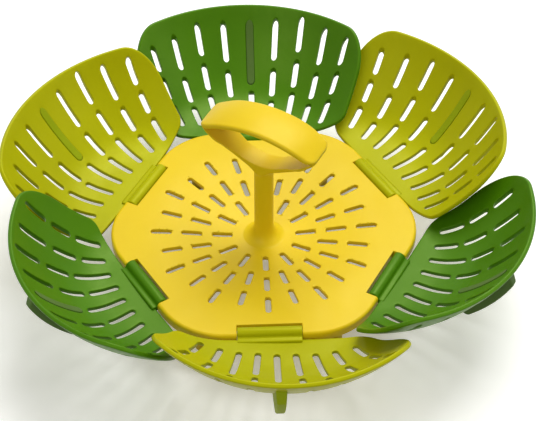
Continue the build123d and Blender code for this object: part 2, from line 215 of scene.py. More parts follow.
@dataclass(frozen=True)
class MouldedPlastic:
    """Glossy injection-moulded plastic with faint flow clouds, sink waves and orange peel."""

    name: str
    colour: Colour
    cloud: Colour
    gloss: Colour
    roughness: float = 0.32
    specular: float = 0.36
    ior: float = 1.49
    glow: float = 0.12
    glow_reach: Colour = (0.004, 0.003, 0.001)
    glow_scale: float = 0.6
    flow: Mottle = Mottle(28 * MM, 3, (1.0, 1.0, 1.6), (0.32, 0.68))
    flow_tint: float = 0.7
    speck: Mottle = Mottle(1.3 * MM, 2, spread=(0.35, 0.65))
    speck_tint: float = 0.12
    speck_matt: float = 0.05
    handling: Mottle = Mottle(9 * MM, 4, (1.0, 2.2, 1.0), (0.40, 0.75))
    handling_matt: float = 0.09
    waves: Mottle = Mottle(14 * MM, 1)
    peel: Mottle = Mottle(0.9 * MM, 2)
    peel_share: float = 0.03
    bump_strength: float = 0.35
    bump_depth: float = 0.25 * MM

    def material(self) -> bpy.types.Material:
        """Builds the finish.

        Returns:
            The material.
        """
        graph = Graph.material(self.name)
        flow, speck, handling = (graph.mottle(look) for look in (self.flow, self.speck, self.handling))
        height = graph.mottle(self.waves) + self.peel_share * graph.mottle(self.peel)
        return graph.principled(
            {
                "Base Color": graph.mix(flow * self.flow_tint + speck * self.speck_tint, self.colour, self.cloud),
                "Roughness": self.roughness + self.handling_matt * handling + self.speck_matt * speck,
                "Normal": graph.bump(height, self.bump_strength, self.bump_depth),
                "IOR": self.ior,
                "Specular IOR Level": self.specular,
                "Specular Tint": self.gloss,
                "Subsurface Weight": self.glow,
                "Subsurface Radius": self.glow_reach,
                "Subsurface Scale": self.glow_scale,
            }
        )


@dataclass(frozen=True)
class Silicone:
    """Matt silicone rubber with a soft sheen and a dusty grain."""

    name: str
    colour: Colour
    dust: Colour
    gloss: Colour
    roughness: float = 0.55
    specular: float = 0.3
    ior: float = 1.41
    sheen: float = 0.04
    sheen_roughness: float = 0.5
    grain: Mottle = Mottle(0.7 * MM, 3, spread=(0.35, 0.7))
    grain_tint: float = 0.25
    bloom: Mottle = Mottle(11 * MM, 3, spread=(0.38, 0.7))
    bloom_tint: float = 0.45
    bloom_matt: float = 0.12
    bump_strength: float = 0.3
    bump_depth: float = 0.08 * MM

    def material(self) -> bpy.types.Material:
        """Builds the finish.

        Returns:
            The material.
        """
        graph = Graph.material(self.name)
        grain, bloom = graph.mottle(self.grain), graph.mottle(self.bloom)
        return graph.principled(
            {
                "Base Color": graph.mix(bloom * self.bloom_tint + grain * self.grain_tint, self.colour, self.dust),
                "Roughness": self.roughness + self.bloom_matt * bloom,
                "Normal": graph.bump(grain, self.bump_strength, self.bump_depth),
                "IOR": self.ior,
                "Specular IOR Level": self.specular,
                "Specular Tint": self.gloss,
                "Sheen Weight": self.sheen,
                "Sheen Roughness": self.sheen_roughness,
            }
        )


@dataclass(frozen=True)
class Steel:
    """Plain stainless steel with fine turning marks."""

    name: str
    colour: Colour
    dull: Colour
    roughness: float = 0.28
    marks: Mottle = Mottle(0.4 * MM, 2, (1.0, 1.0, 0.2), (0.3, 0.7))
    marks_matt: float = 0.1
    bump_strength: float = 0.2
    bump_depth: float = 0.03 * MM

    def material(self) -> bpy.types.Material:
        """Builds the finish.

        Returns:
            The material.
        """
        graph = Graph.material(self.name)
        marks = graph.mottle(self.marks)
        return graph.principled(
            {
                "Base Color": graph.mix(1 - marks, self.dull, self.colour),
                "Metallic": 1.0,
                "Roughness": self.roughness + self.marks_matt * marks,
                "Normal": graph.bump(marks, self.bump_strength, self.bump_depth),
            }
        )


class Finish(Enum):
    """The finishes, by the record's material slots."""

    YELLOW = MouldedPlastic("yellow_plastic", (0.81, 0.58, 0.010), (0.76, 0.53, 0.008), (1.0, 0.90, 0.40))
    LIME = MouldedPlastic("lime_plastic", (0.44, 0.44, 0.002), (0.39, 0.39, 0.0015), (1.0, 1.0, 0.12))
    GREEN = MouldedPlastic("green_plastic", (0.066, 0.200, 0.002), (0.052, 0.168, 0.0015), (0.75, 1.0, 0.25))
    OLIVE = Silicone("olive_silicone", (0.27, 0.34, 0.003), (0.32, 0.39, 0.010), (1.0, 1.0, 0.15))
    GREY_GREEN = Silicone("grey_green_silicone", (0.080, 0.150, 0.026), (0.105, 0.180, 0.045), (0.8, 1.0, 0.5))
    STEEL = Steel("stainless_steel", (0.62, 0.61, 0.58), (0.496, 0.488, 0.464))


class Wardrobe:
    """Keeps one material for each finish and puts it on pieces."""

    def __init__(self) -> None:
        """Starts with no materials made."""
        self.made: dict[Finish, bpy.types.Material] = {}

    def dress(self, piece: bpy.types.Object, finish: Finish) -> None:
        """Puts a finish on a piece.

        Args:
            piece: The piece.
            finish: Its finish.
        """
        if finish not in self.made:
            self.made[finish] = finish.value.material()
        if not piece.data.materials:
            piece.data.materials.append(self.made[finish])
        for slot in piece.material_slots:
            slot.material = self.made[finish]


def tree_of(points: Sequence[Point]) -> KDTree:
    """Makes the tree that finds the nearest of some points.

    Args:
        points: The points.

    Returns:
        The balanced tree.
    """
    tree = KDTree(len(points))
    for index, (x, y) in enumerate(points):
        tree.insert((x, y, 0), index)
    tree.balance()
    return tree


@dataclass
class Moulding:
    """A plate-like moulding with rounded edges: an outline and holes, lifted into place by a function.

    place(u, v, drop, far) gives the point of the near or far face over (u, v), moved inwards by drop.
    """

    outline: list[Point]
    holes: list[list[Point]]
    place: Placer
    edge: float
    hole_edge: float
    grain: float
    steps: int = 5
    clearance: float = 0.55
    probe: float = 0.1 * MM
    points: list[Vector] = field(default_factory=list)
    faces: list[tuple[int, ...]] = field(default_factory=list)

    @staticmethod
    def inset(loop: Sequence[Point], amounts: Sequence[float]) -> list[Point]:
        """Moves a loop to its left, which is inwards for one that runs anticlockwise.

        Args:
            loop: The points of a closed loop.
            amounts: How far each point moves.

        Returns:
            The moved points.
        """
        moved = []
        for before, point, after, amount in zip((loop[-1], *loop[:-1]), loop, (*loop[1:], loop[0]), amounts):
            along = Vector((after[0] - before[0], after[1] - before[1])).normalized()
            moved.append((point[0] - along.y * amount, point[1] + along.x * amount))
        return moved

    def _give(self, loop: Sequence[Point]) -> list[float]:
        """How far each point of a loop moves in the plan for a metre over the face: less where it is steep."""
        ends = zip(loop, self.inset(loop, [self.probe] * len(loop)))
        return [self.probe / (self.place(*b, 0.0, False) - self.place(*a, 0.0, False)).length for a, b in ends]

    @staticmethod
    def inside(point: Point, loops: Sequence[Sequence[Point]]) -> bool:
        """Tells whether a point is on the face.

        Args:
            point: The point.
            loops: The outline and the holes.

        Returns:
            True if it is inside the outline and outside the holes.
        """
        odd = False
        for loop in loops:
            for (x0, y0), (x1, y1) in zip(loop, (*loop[1:], loop[0])):
                if (y0 > point[1]) != (y1 > point[1]) and point[0] < x0 + (point[1] - y0) / (y1 - y0) * (x1 - x0):
                    odd = not odd
        return odd

    def _filling(self, loops: list[list[Point]]) -> list[Point]:
        """Spreads points over the face, in rows that are offset from each other.

        Args:
            loops: The outline and the holes.

        Returns:
            The points, clear of every loop.
        """
        tree = tree_of([point for loop in loops for point in loop])
        low, high = (tuple(pick(point[axis] for point in loops[0]) for axis in (0, 1)) for pick in (min, max))
        row_step = self.grain * sqrt(3) / 2
        found = []
        for row in range(ceil((high[1] - low[1]) / row_step)):
            for column in range(ceil((high[0] - low[0]) / self.grain)):
                point = (low[0] + (column + 0.5 * (row % 2)) * self.grain, low[1] + row * row_step)
                if tree.find((*point, 0))[2] >= self.clearance * self.grain and self.inside(point, loops):
                    found.append(point)
        return found

    def build(self) -> "Moulding":
        """Makes the points and the faces.

        Returns:
            The moulding itself.
        """
        rounds = [self.edge] + [self.hole_edge] * len(self.holes)
        sources = [self.outline, *self.holes]
        gives = [[size * give for give in self._give(loop)] for loop, size in zip(sources, rounds)]
        loops = [self.inset(loop, give) for loop, give in zip(sources, gives)]
        flat = [p for loop in loops for p in loop] + self._filling(loops)
        sides = []
        start = 0
        for loop in loops:
            sides += [(start + i, start + (i + 1) % len(loop)) for i in range(len(loop))]
            start += len(loop)
        spots, _, triangles, origins, _, _ = delaunay_2d_cdt([Vector(p) for p in flat], sides, [], 0, TINY)
        made = {source: index for index, found in enumerate(origins) for source in found}
        self.points = [self.place(p.x, p.y, 0.0, far) for far in (False, True) for p in spots]
        for triangle in triangles:
            middle = sum((spots[i] for i in triangle), Vector((0, 0))) / len(triangle)
            if self.inside(middle, loops):
                self.faces += [tuple(triangle), tuple(len(spots) + i for i in reversed(triangle))]
        start = 0
        for loop, source, size, give in zip(loops, sources, rounds, gives):
            near = [made[start + i] for i in range(len(loop))]
            far = [len(spots) + i for i in near]
            rings = [near, *self._rings(source, size, give, False)]
            rings += [*reversed(self._rings(source, size, give, True)), far]
            for upper, lower in zip(rings, rings[1:]):
                self.faces += [(upper[i - 1], lower[i - 1], lower[i], upper[i]) for i in range(len(loop))]
            start += len(loop)
        return self

    def _rings(self, loop: Sequence[Point], size: float, give: Sequence[float], far: bool) -> list[list[int]]:
        """Makes the rings of points that round an edge, from the face to the wall.

        Args:
            loop: The loop of the wall.
            size: The radius of the round.
            give: How far each point of the face's loop stands from the wall, in the plan.
            far: True for the far face.

        Returns:
            The rings, as places in the list of points.
        """
        rings = []
        for step in range(1, self.steps + 1):
            turn = pi / 2 * step / self.steps
            moved = self.inset(loop, [reach * (1 - sin(turn)) for reach in give])
            first = len(self.points)
            self.points += [self.place(u, v, size * (1 - cos(turn)), far) for u, v in moved]
            rings.append(list(range(first, first + len(loop))))
        return rings


def stadium(start: Point, end: Point, radius: float, steps: int = 9) -> list[Point]:
    """A slot's loop, clockwise, so that its left is the material round it.

    Args:
        start: The middle of its first end's circle.
        end: The middle of its second end's circle.
        radius: Half its width.
        steps: The steps of each end.

    Returns:
        The points.
    """
    heading = atan2(end[1] - start[1], end[0] - start[0])
    loop = []
    for centre, other, side in ((end, start, 1), (start, end, -1)):
        for step in range(steps + 1):
            turn = heading + side * pi / 2 - pi * step / steps
            loop.append((centre[0] + radius * cos(turn), centre[1] + radius * sin(turn)))
        last = loop[-1]
        loop += straight(last, (last[0] + other[0] - centre[0], last[1] + other[1] - centre[1]), radius)
    return loop


def arc(centre: Point, radius: float, start: float, turn: float, grain: float) -> list[Point]:
    """Points along an arc, both ends included.

    Args:
        centre: Its middle.
        radius: Its radius.
        start: The angle of its first point.
        turn: How far it goes, anticlockwise if positive.
        grain: About how far apart the points are.

    Returns:
        The points.
    """
    parts = max(2, ceil(abs(turn) * radius / grain))
    angles = [start + turn * part / parts for part in range(parts + 1)]
    return [(centre[0] + radius * cos(a), centre[1] + radius * sin(a)) for a in angles]


def straight(start: Point, end: Point, step: float) -> list[Point]:
    """Points between two others, both left out, about a step apart."""
    parts = max(1, round(hypot(end[0] - start[0], end[1] - start[1]) / step))
    return [tuple(Vector(start).lerp(Vector(end), part / parts)) for part in range(1, parts)]


def softened(loop: Sequence[Point], rounds: dict[int, float], step: float) -> list[Point]:
    """Rounds some corners of a closed loop.

    Args:
        loop: The points.
        rounds: The radius for each corner, by its place in the loop.
        step: About how far apart the points of a round are.

    Returns:
        The loop with an arc in place of each corner and of the points that are near it.
    """
    gap = 0.3 * step
    arcs: dict[int, list[Point]] = {}
    reaches: list[tuple[Vector, float]] = []
    for index, radius in rounds.items():
        corner = Vector(loop[index])
        before = (Vector(loop[index - 1]) - corner).normalized()
        after = (Vector(loop[(index + 1) % len(loop)]) - corner).normalized()
        half = before.angle(after) / 2
        centre = corner + (before + after).normalized() * radius / sin(half)
        reach = radius / tan(half)
        start, end = corner + before * reach - centre, corner + after * reach - centre
        turn = atan2(start.x * end.y - start.y * end.x, start.dot(end))
        arcs[index] = arc(tuple(centre), radius, atan2(start.y, start.x), turn, step)
        reaches.append((corner, reach + gap))
    found = []
    for index, point in enumerate(loop):
        if index in arcs:
            found += arcs[index]
        elif all((Vector(point) - corner).length > reach for corner, reach in reaches):
            found.append(point)
    return found


def joined(*mouldings: "Moulding") -> Shape:
    """Puts mouldings into one list of points and faces.

    Args:
        mouldings: The built mouldings.

    Returns:
        The points and the faces.
    """
    points: list[Vector] = []
    faces: list[tuple[int, ...]] = []
    for moulding in mouldings:
        faces += [tuple(index + len(points) for index in face) for face in moulding.faces]
        points += moulding.points
    return points, faces


def object_from(name: str, points: Iterable[Vector], faces: Iterable[Sequence[int]]) -> bpy.types.Object:
    """Makes a smooth-shaded object from points and faces.

    Args:
        name: Its name.
        points: Its points, in metres.
        faces: Its faces, as places in the list of points.

    Returns:
        The object, in the scene.
    """
    mesh = bpy.data.meshes.new(name)
    mesh.from_pydata([tuple(p) for p in points], [], [tuple(f) for f in faces])
    mesh.polygons.foreach_set("use_smooth", [True] * len(mesh.polygons))
    mesh.update()
    made = bpy.data.objects.new(name, mesh)
    bpy.context.scene.collection.objects.link(made)
    return made


def ramp(value: float, start: float, end: float) -> float:
    """How far a value is on the way from a start to an end, kept between 0 and 1."""
    return min(1.0, max(0.0, (value - start) / (end - start)))


@dataclass
class Bowl:
    """The bowl that the petals are cut from.

    A flat cone, a bend and a gently curved wall, turned about an axis that leans a little.
    """

    centre: Vector = field(default_factory=lambda: Vector((55.05, 5.87, 24.0)) * MM)
    tilt: float = radians(1.15)
    drop: float = 2.33 * MM
    floor_radius: float = 31.6 * MM
    floor_slope: float = radians(2.86)
    bend_radius: float = 33.1 * MM
    bend_angle: float = radians(43.5)
    wall_radius: float = 115.0 * MM
    rounds: int = 4

    def profile(self, reach: float, depth: float) -> float:
        """The height of the bowl's section.

        Args:
            reach: The distance from the axis.
            depth: How far below the upper face.

        Returns:
            The height along the axis, over the plate's top.
        """
        bend = self.bend_radius + depth
        wall = self.wall_radius + depth
        bend_x = self.floor_radius - self.bend_radius * sin(self.floor_slope)
        bend_z = self.bend_radius * cos(self.floor_slope) - self.drop
        wall_x = bend_x + (self.bend_radius - self.wall_radius) * sin(self.bend_angle)
        wall_z = bend_z - (self.bend_radius - self.wall_radius) * cos(self.bend_angle)
        floor_end = bend_x + bend * sin(self.floor_slope)
        if reach < floor_end:
            return bend_z - bend * cos(self.floor_slope) - (floor_end - reach) * tan(self.floor_slope)
        if reach < bend_x + bend * sin(self.bend_angle):
            return bend_z - sqrt(bend**2 - (reach - bend_x) ** 2)
        return wall_z - sqrt(wall**2 - (reach - wall_x) ** 2)

    def height(self, x: float, y: float, depth: float) -> float:
        """The height of the bowl over a place.

        Args:
            x: The place outwards.
            y: The place sideways.
            depth: How far below the upper face.

        Returns:
            The height over the table.
        """
        side = y - self.centre.y
        rise = 0.0
        for _ in range(self.rounds):
            along = side * sin(self.tilt) + rise * cos(self.tilt)
            reach = sqrt(max(0.0, (x - self.centre.x) ** 2 + side**2 + rise**2 - along**2))
            rise = (self.profile(reach, depth) - side * sin(self.tilt)) / cos(self.tilt)
        return self.centre.z + rise

    def normal(self, x: float, y: float) -> Vector:
        """The upper face's direction over a place.

        Args:
            x: The place outwards.
            y: The place sideways.

        Returns:
            A vector of length 1 that points up.
        """
        probe = 0.05 * MM
        slope_x = (self.height(x + probe, y, 0.0) - self.height(x - probe, y, 0.0)) / (2 * probe)
        slope_y = (self.height(x, y + probe, 0.0) - self.height(x, y - probe, 0.0)) / (2 * probe)
        return Vector((-slope_x, -slope_y, 1.0)).normalized()


@dataclass
class Petal:
    """A petal: a slotted shell of the bowl with its rim square to the bowl, and its hinge's barrel and web."""

    bowl: Bowl = field(default_factory=Bowl)
    wall: float = 2.2 * MM
    edge: float = 0.7 * MM
    slot_edge: float = 0.45 * MM
    grain: float = 1.7 * MM
    root: float = 70.7 * MM
    root_outer: float = 45.2 * MM
    root_inner: float = 43.3 * MM
    angle_outer: float = radians(37.0)
    angle_inner: float = radians(26.8)
    round_root_outer: float = 13.0 * MM
    round_root_inner: float = 4.8 * MM
    round_rim_outer: float = 20.8 * MM
    round_rim_inner: float = 18.8 * MM
    rim: Point = (51.6 * MM, 7.3 * MM)
    rim_radius: float = 78.4 * MM
    square_from: float = 0.8 * MM
    square_to: float = 4.8 * MM
    fan: Point = (5.8 * MM, 2.76 * MM)
    fan_length: float = 60.3 * MM
    fan_step: float = radians(6.7)
    fan_skew: float = 0.45 * MM
    slot_width: float = 3.0 * MM
    inlay_width: float = 4.0 * MM
    centre_shares: tuple[Point, ...] = ((0.156, 0.494),)
    inlay_shares: tuple[Point, ...] = ((0.541, 0.914),)
    column_shares: tuple[tuple[Point, ...], ...] = (
        ((0.156, 0.406), (0.446, 0.648), (0.695, 0.917)),
        ((0.179, 0.481), (0.517, 0.693), (0.736, 0.910)),
        ((0.197, 0.391), (0.431, 0.610), (0.655, 0.849)),
        ((0.229, 0.428), (0.464, 0.609), (0.645, 0.789)),
    )
    hinge: Point = (67.0 * MM, 21.9 * MM)
    barrel_radius: float = 2.9 * MM
    barrel_length: float = 30.8 * MM
    barrel_edge: float = 0.5 * MM
    web: float = 3.0 * MM
    web_lap: float = 2.0 * MM
    web_blend: float = 1.2 * MM
    lug_grain: float = 1.2 * MM
    lug_steps: int = 3

    def outline(self) -> list[Point]:
        """The petal's outline from above, anticlockwise, with its four corners rounded.

        Returns:
            The points.
        """
        grain = 0.5 * self.grain
        loop: list[Point] = []
        for side, half, slope, root_round, rim_round in (
            (-1, self.root_inner, self.angle_inner, self.round_root_inner, self.round_rim_inner),
            (1, self.root_outer, self.angle_outer, self.round_root_outer, self.round_rim_outer),
        ):
            corner = Vector((self.root, side * half))
            along = Vector((cos(slope), side * sin(slope)))
            inwards = Vector((along.y, -along.x)) * side
            bend = along.dot(Vector((0, -side)))
            reach = root_round * sqrt((1 + bend) / (1 - bend))
            root_centre = corner + along * reach + inwards * root_round
            offset = corner + inwards * rim_round - Vector(self.rim)
            away = offset.dot(along)
            run = sqrt(away**2 - offset.length_squared + (self.rim_radius - rim_round) ** 2) - away
            rim_centre = corner + inwards * rim_round + along * run
            lean = atan2(-inwards.y, -inwards.x)
            rim_lean = atan2(rim_centre.y - self.rim[1], rim_centre.x - self.rim[0])
            first = arc(tuple(root_centre), root_round, pi, self._short(lean - pi), grain)
            second = arc(tuple(rim_centre), rim_round, lean, self._short(rim_lean - lean), grain)
            piece = first + straight(first[-1], second[0], 2 * grain) + second
            if side == 1:
                last = atan2(loop[-1][1] - self.rim[1], loop[-1][0] - self.rim[0])
                loop += arc(self.rim, self.rim_radius, last, self._short(rim_lean - last), grain)[1:-1]
                piece.reverse()
            loop += piece
        return loop + straight(loop[-1], loop[0], 2 * grain)

    @staticmethod
    def _short(turn: float) -> float:
        """The same turn, between half a turn back and half a turn on."""
        return (turn + pi) % (2 * pi) - pi

    def slots(self) -> list[list[Point]]:
        """The loops of all the slots, the inlay's with them.

        Returns:
            The loops.
        """
        rows = [(0, 1, self.slot_width, self.centre_shares), (0, 1, self.inlay_width, self.inlay_shares)]
        for column, shares in enumerate(self.column_shares, 1):
            rows += [(column, side, self.slot_width, shares) for side in (1, -1)]
        loops = []
        for column, side, width, shares in rows:
            loops += [self.slot(column, side, width, share) for share in shares]
        return loops

    def slot(self, column: int, side: int, width: float, share: Point) -> list[Point]:
        """The loop of one slot of the fan.

        Args:
            column: How many columns it is from the middle.
            side: 1 on the clockwise side, -1 on the other.
            width: Its width.
            share: Where it starts and ends, as shares of the fan's length.

        Returns:
            The points, clockwise.
        """
        turn = -side * self.fan_step * column
        first = self.root - self.fan[0] - side * self.fan_skew * column
        ends = []
        for reach in (first + share[0] * self.fan_length + width / 2, first + share[1] * self.fan_length - width / 2):
            ends.append((self.fan[0] + reach * cos(turn), self.fan[1] + reach * sin(turn)))
        return stadium(*ends, width / 2)

    def _squareness(self) -> Callable[[float, float], float]:
        """Makes a function that tells how square to the bowl the wall stands at a place.

        Returns:
            A function that gives 1 along the outline and 0 away from it, where the slots are cut straight down.
        """
        tree = tree_of(self.outline())

        def share(x: float, y: float) -> float:
            """The share at a place."""
            away = ramp(tree.find((x, y, 0))[2], self.square_from, self.square_to)
            return 1 - away * away * (3 - 2 * away)

        return share

    def shell_placer(self) -> Placer:
        """Makes the function that lifts the shell's plan onto the bowl.

        Returns:
            A function that gives the point of the upper or lower face over a place.
        """
        squareness = self._squareness()

        def shell_place(x: float, y: float, drop: float, far: bool) -> Vector:
            """The point over a place, moved into the wall by drop."""
            share = squareness(x, y)
            normal = self.bowl.normal(x, y)
            into = Vector((0, 0, 1)).lerp(normal, share) * drop
            if not far:
                return Vector((x, y, self.bowl.height(x, y, 0.0))) - into
            low_x = x - share * self.wall * normal.x
            low_y = y - share * self.wall * normal.y
            return Vector((low_x, low_y, self.bowl.height(low_x, low_y, self.wall))) + into

        return shell_place

    def lug_place(self, x: float, z: float, drop: float, far: bool) -> Vector:
        """The point of the hinge lug's near or far end over (x, z) of its section, moved inwards by drop."""
        half = self.barrel_length / 2 - drop
        return Vector((x, half if far else -half, z))

    def lug_outline(self) -> list[Point]:
        """The section of the barrel and its web, anticlockwise.

        Returns:
            The points.
        """
        x, z = self.hinge
        radius = self.barrel_radius
        top = z - radius + self.web
        blend = self.web_blend
        centre = (x + sqrt((radius + blend) ** 2 - (top + blend - z) ** 2), top + blend)
        lean = atan2(centre[1] - z, centre[0] - x)
        end = self.root + self.web_lap
        grain = 0.35 * MM
        parts = 6
        loop = arc((x, z), radius, lean, 3 * pi / 2 - lean, grain)
        loop += [(x + (end - x) * part / parts, z - radius) for part in range(1, parts + 1)]
        loop += [(end, top), ((end + centre[0]) / 2, top)]
        loop += arc(centre, blend, -pi / 2, lean + pi - 3 * pi / 2, 0.5 * grain)[:-1]
        return loop

    def build(self) -> Shape:
        """Makes the shell and the hinge's lug, pointing along +X.

        Returns:
            Their points and faces.
        """
        edge = self.barrel_edge
        shell = Moulding(self.outline(), self.slots(), self.shell_placer(), self.edge, self.slot_edge, self.grain)
        lug = Moulding(self.lug_outline(), [], self.lug_place, edge, edge, self.lug_grain, self.lug_steps)
        return joined(shell.build(), lug.build())


@dataclass
class Foot:
    """A silicone foot: a fin under a petal and an inlay that fills the petal's long slot."""

    petal: Petal = field(default_factory=Petal)
    proud: float = 0.35 * MM
    sunk: float = 1.9 * MM
    inlay_edge: float = 0.45 * MM
    inlay_gap: float = 0.06 * MM
    edge_centre: Point = (40.98 * MM, 83.29 * MM)
    edge_radius: float = 96.9 * MM
    toe: Point = (130.5 * MM, 46.2 * MM)
    heel: Point = (109.0 * MM, 14.27 * MM)
    toe_round: float = 1.5 * MM
    heel_round: float = 2.5 * MM
    root_round: float = 1.0 * MM
    root_width: float = 6.7 * MM
    edge_width: float = 4.2 * MM
    taper_depth: float = 12.0 * MM
    top_start: float = 101.05 * MM
    top_end: float = 127.6 * MM
    fin_edge: float = 0.8 * MM
    grain: float = 1.5 * MM

    def inlay_place(self, x: float, y: float, drop: float, far: bool) -> Vector:
        """The point of the inlay's face or back over (x, y), moved inwards by drop."""
        depth, rise = (self.sunk, drop) if far else (-self.proud, -drop)
        return Vector((x, y, self.petal.bowl.height(x, y, depth) + rise))

    def fin_place(self, x: float, z: float, drop: float, far: bool) -> Vector:
        """The point of the fin's side over a place of its section.

        Args:
            x: The place outwards.
            z: The height.
            drop: How far the point is moved into the fin.
            far: True for the anticlockwise side.

        Returns:
            The point.
        """
        depth = self.edge_radius - hypot(x - self.edge_centre[0], z - self.edge_centre[1])
        share = ramp(depth, 0.0, self.taper_depth)
        half = (self.edge_width + (self.root_width - self.edge_width) * share) / 2 - drop
        return Vector((x, self.petal.fan[1] + (half if far else -half), z))

    def fin_outline(self) -> list[Point]:
        """The fin's section, anticlockwise, with its top in the petal's wall.

        Returns:
            The points.
        """
        step = 0.5 * MM
        middle = self.petal.fan[1]
        depth = self.petal.wall / 2
        parts = ceil((self.top_end - self.top_start) / step)
        top = []
        for part in range(parts + 1):
            x = self.top_end + (self.top_start - self.top_end) * part / parts
            top.append((x, self.petal.bowl.height(x, middle, depth)))
        angles = [atan2(p[1] - self.edge_centre[1], p[0] - self.edge_centre[0]) for p in (self.heel, self.toe)]
        edge = arc(self.edge_centre, self.edge_radius, angles[0], angles[1] - angles[0], step)
        outer = [*edge, *straight(edge[-1], top[0], step)]
        loop = [*outer, *top, *straight(top[-1], edge[0], step)]
        rounds = {
            0: self.heel_round,
            len(edge) - 1: self.toe_round,
            len(outer): self.root_round,
            len(outer) + len(top) - 1: self.root_round,
        }
        return softened(loop, rounds, step)

    def build(self) -> Shape:
        """Makes the fin and the inlay, pointing along +X.

        Returns:
            Their points and faces.
        """
        filled = list(reversed(self.petal.slot(0, 1, self.petal.inlay_width, self.petal.inlay_shares[0])))
        outline = Moulding.inset(filled, [self.inlay_gap] * len(filled))
        inlay = Moulding(outline, [], self.inlay_place, self.inlay_edge, self.inlay_edge, self.grain)
        fin = Moulding(self.fin_outline(), [], self.fin_place, self.fin_edge, self.fin_edge, self.grain)
        return joined(inlay.build(), fin.build())


@dataclass
class MouldedPiece:
    """One of the six copies of a shape, turned into its place round the plate."""

    name: str
    node: str
    body: str
    turn: float
    finish: Finish

    def build(self, wardrobe: Wardrobe, shape: Shape) -> bpy.types.Object:
        """Makes the piece in place of its solid.

        Args:
            wardrobe: Where its material comes from.
            shape: Its points and faces, pointing along +X.

        Returns:
            The piece.
        """
        turned = Matrix.Rotation(self.turn, 4, "Z")
        piece = object_from(self.name, [turned @ p for p in shape[0]], shape[1])
        wardrobe.dress(piece, self.finish)
        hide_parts(self.node)
        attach(piece, self.body)
        log.info("%s: %d faces, rides on %s", self.name, len(shape[1]), self.body)
        return piece


@dataclass
class EasedSolid:
    """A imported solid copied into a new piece: refined where it changes, eased and with rounded edges."""

    node: str
    body: str
    finish: Finish
    edge: float
    grain: float = 1.6 * MM
    passes: int = 6
    probes: int = 8
    sharp: float = radians(38.0)
    segments: int = 3
    weld: float = 0.001 * MM
    sliver: float = 0.002 * MM
    shortest: float = 0.02 * MM

    def refined(self, point: Vector) -> bool:
        """Tells whether the mesh has to be fine at a point."""
        raise NotImplementedError

    def rounded(self, point: Vector) -> bool:
        """Tells whether a sharp edge at a point is rounded."""
        raise NotImplementedError

    def eased(self, point: Vector) -> Vector:
        """Where a point of the solid goes."""
        raise NotImplementedError

    @staticmethod
    def _triangulate(mesh: bmesh.types.BMesh) -> None:
        """Splits the faces that have more than three corners."""
        bmesh.ops.triangulate(mesh, faces=[face for face in mesh.faces if len(face.verts) > 3])

    def _refine(self, mesh: bmesh.types.BMesh) -> None:
        """Splits the long edges of the part that has to be fine, and takes out the slivers that this leaves.

        Args:
            mesh: The copied mesh.
        """
        for _ in range(self.passes):
            long = []
            for edge in mesh.edges:
                start, end = (corner.co for corner in edge.verts)
                if (end - start).length <= self.grain:
                    continue
                if any(self.refined(start.lerp(end, probe / self.probes)) for probe in range(self.probes + 1)):
                    long.append(edge)
            if not long:
                break
            bmesh.ops.subdivide_edges(mesh, edges=long, cuts=1)
            self._triangulate(mesh)
            bmesh.ops.dissolve_degenerate(mesh, edges=mesh.edges, dist=self.sliver)
            self._triangulate(mesh)

    def _mark(self, mesh: bmesh.types.BMesh) -> None:
        """Marks the edges that are rounded, and those that stay sharp.

        Args:
            mesh: The copied mesh.
        """
        weight = mesh.edges.layers.float.new("bevel_weight_edge")
        for face in mesh.faces:
            face.smooth = True
        for edge in mesh.edges:
            if edge.calc_face_angle(0.0) > self.sharp:
                if self.rounded((edge.verts[0].co + edge.verts[1].co) / 2):
                    edge[weight] = 1.0
                else:
                    edge.smooth = False

    def build(self, wardrobe: Wardrobe, nodes: dict[str, bpy.types.Object]) -> bpy.types.Object:
        """Makes the piece in place of its solid.

        Args:
            wardrobe: Where its material comes from.
            nodes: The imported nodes.

        Returns:
            The piece.
        """
        mesh = bmesh.new()
        mesh.from_mesh(nodes[self.node].data)
        bmesh.ops.remove_doubles(mesh, verts=mesh.verts, dist=self.weld)
        self._refine(mesh)
        self._mark(mesh)
        for corner in mesh.verts:
            corner.co = self.eased(corner.co)
        bmesh.ops.remove_doubles(mesh, verts=mesh.verts, dist=self.shortest)
        data = bpy.data.meshes.new(f"eased_{self.node}")
        mesh.to_mesh(data)
        mesh.free()
        piece = bpy.data.objects.new(data.name, data)
        bpy.context.scene.collection.objects.link(piece)
        bevel = piece.modifiers.new("rounded_edges", "BEVEL")
        bevel.limit_method = "WEIGHT"
        bevel.width = self.edge
        bevel.segments = self.segments
        bevel.use_clamp_overlap = False
        normals = piece.modifiers.new("flat_faces_stay_flat", "WEIGHTED_NORMAL")
        normals.keep_sharp = True
        wardrobe.dress(piece, self.finish)
        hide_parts(self.node)
        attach(piece, self.body)
        log.info("%s: %d faces before rounding, rides on %s", piece.name, len(data.polygons), self.body)
        return piece


